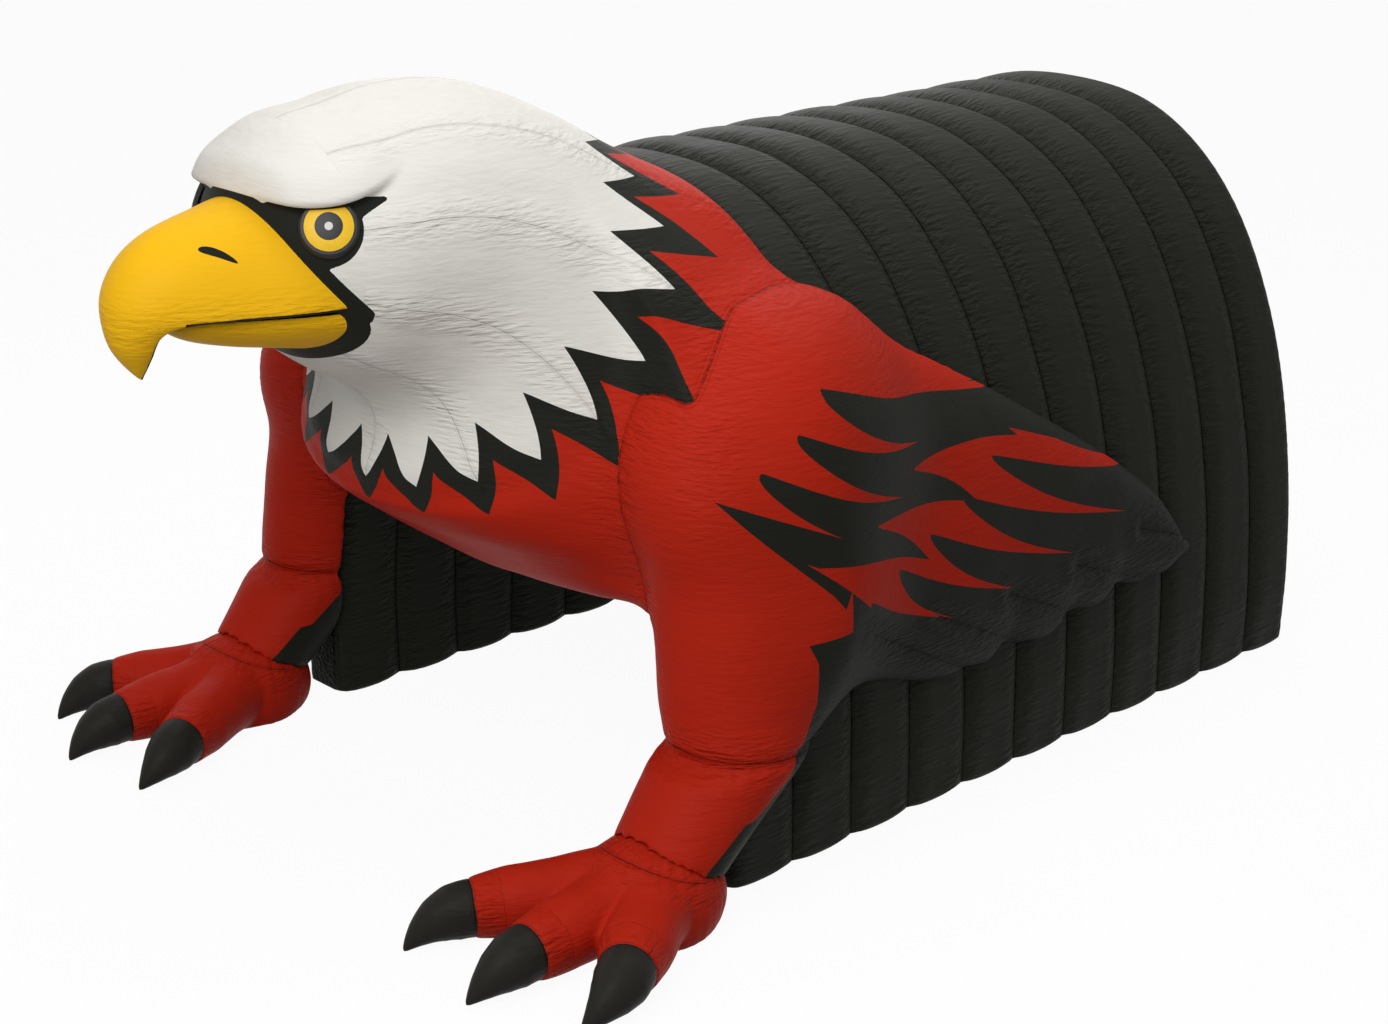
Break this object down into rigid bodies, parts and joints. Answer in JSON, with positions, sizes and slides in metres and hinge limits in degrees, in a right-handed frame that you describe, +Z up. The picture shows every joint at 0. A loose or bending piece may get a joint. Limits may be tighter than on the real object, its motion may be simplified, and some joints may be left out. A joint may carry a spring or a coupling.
{
  "type": "inflatable_sports_tunnel",
  "caption": "Inflatable sports entrance tunnel with an eagle at its mouth: eleven sewn air ribs, head and chest, feathered wings, taloned feet, a blower, a zip and tie-down rings.",
  "frame": {"origin": "middle of the footprint's bounding box, on the ground", "axes": "+X the bird's left, +Y from the bird's face to the tunnel's rear mouth, +Z up"},
  "size_m": [4.7744, 7.8664, 3.8609],
  "materials": {
    "black_fabric": "coated woven nylon, low satin, dyed black",
    "red_fabric": "coated woven nylon, satin, dyed deep red",
    "white_fabric": "coated woven nylon, satin, white",
    "yellow_fabric": "coated woven nylon, satin, golden yellow",
    "charcoal_fabric": "coated woven nylon, matte charcoal",
    "amber_print": "coated nylon with a printed iris and pupil",
    "red_webbing": "woven polyester webbing",
    "blue_plastic": "rotomoulded polyethylene, low gloss",
    "dark_plastic": "moulded plastic, matte",
    "steel": "zinc plated steel"
  },
  "bodies": {
    "tunnel": {"beak_lower": "yellow_fabric", "beak_upper": "yellow_fabric", "blower_housing": "blue_plastic", "blower_motor": "dark_plastic", "blower_skids": "dark_plastic", "cable_gland": "dark_plastic", "carry_handle": "dark_plastic", "chest": "red_fabric", "collar": "black_fabric", "eye_left": "amber_print", "eye_right": "amber_print", "foot_left": "red_fabric", "foot_right": "red_fabric", "head": "white_fabric", "inflation_sleeve": "black_fabric", "inlet_grille": "dark_plastic", "leg_panel_left": "black_fabric", "leg_panel_right": "black_fabric", "mantle": "red_fabric", "shin_left": "red_fabric", "shin_right": "red_fabric", "shoulder_left": "red_fabric", "shoulder_right": "red_fabric", "sleeve_strap": "red_webbing", "talon_inner_left": "charcoal_fabric", "talon_inner_right": "charcoal_fabric", "talon_middle_left": "charcoal_fabric", "talon_middle_right": "charcoal_fabric", "talon_outer_left": "charcoal_fabric", "talon_outer_right": "charcoal_fabric", "terminal_box": "dark_plastic", "tie_tab_left": "black_fabric", "tie_tab_right": "black_fabric", "tunnel_rib_01": "black_fabric", "tunnel_rib_02": "black_fabric", "tunnel_rib_03": "black_fabric", "tunnel_rib_04": "black_fabric", "tunnel_rib_05": "black_fabric", "tunnel_rib_06": "black_fabric", "tunnel_rib_07": "black_fabric", "tunnel_rib_08": "black_fabric", "tunnel_rib_09": "black_fabric", "tunnel_rib_10": "black_fabric", "tunnel_rib_11": "black_fabric", "wing_coverts_left": "red_fabric", "wing_coverts_right": "red_fabric", "wing_primaries_left": "black_fabric", "wing_primaries_right": "black_fabric", "wing_secondaries_left": "black_fabric", "wing_secondaries_right": "black_fabric", "zip_tape": "black_fabric"},
    "impeller": {"blower_impeller": "steel"},
    "rocker": {"switch_rocker": "dark_plastic"},
    "slider": {"zip_slider": "steel"},
    "pull": {"zip_pull": "steel"},
    "ring_left": {"tie_ring_left": "steel"},
    "ring_right": {"tie_ring_right": "steel"}
  },
  "joints": [
    {"name": "impeller_spin", "type": "hinge", "parent": "tunnel", "child": "impeller", "pos_m": [-1.645, 3.69881, 0.2903], "axis": [1, 0, 0], "continuous": true},
    {"name": "switch_rock", "type": "hinge", "parent": "tunnel", "child": "rocker", "pos_m": [-1.4757, 3.81781, 0.3103], "axis": [0, 1, 0], "range_deg": [0, 16]},
    {"name": "zip_travel", "type": "slide", "parent": "tunnel", "child": "slider", "axis": [0, 0, -1], "range_m": [0, 0.61]},
    {"name": "pull_swing", "type": "hinge", "parent": "slider", "child": "pull", "pos_m": [1.645, 3.03611, 1.21367], "axis": [1, 0, 0], "range_deg": [0, 150]},
    {"name": "ring_left_swing", "type": "hinge", "parent": "tunnel", "child": "ring_left", "pos_m": [1.645, 3.02791, 0.36], "axis": [1, 0, 0], "range_deg": [0, 150]},
    {"name": "ring_right_swing", "type": "hinge", "parent": "tunnel", "child": "ring_right", "pos_m": [-1.645, 3.02791, 0.36], "axis": [1, 0, 0], "range_deg": [0, 150]}
  ]
}
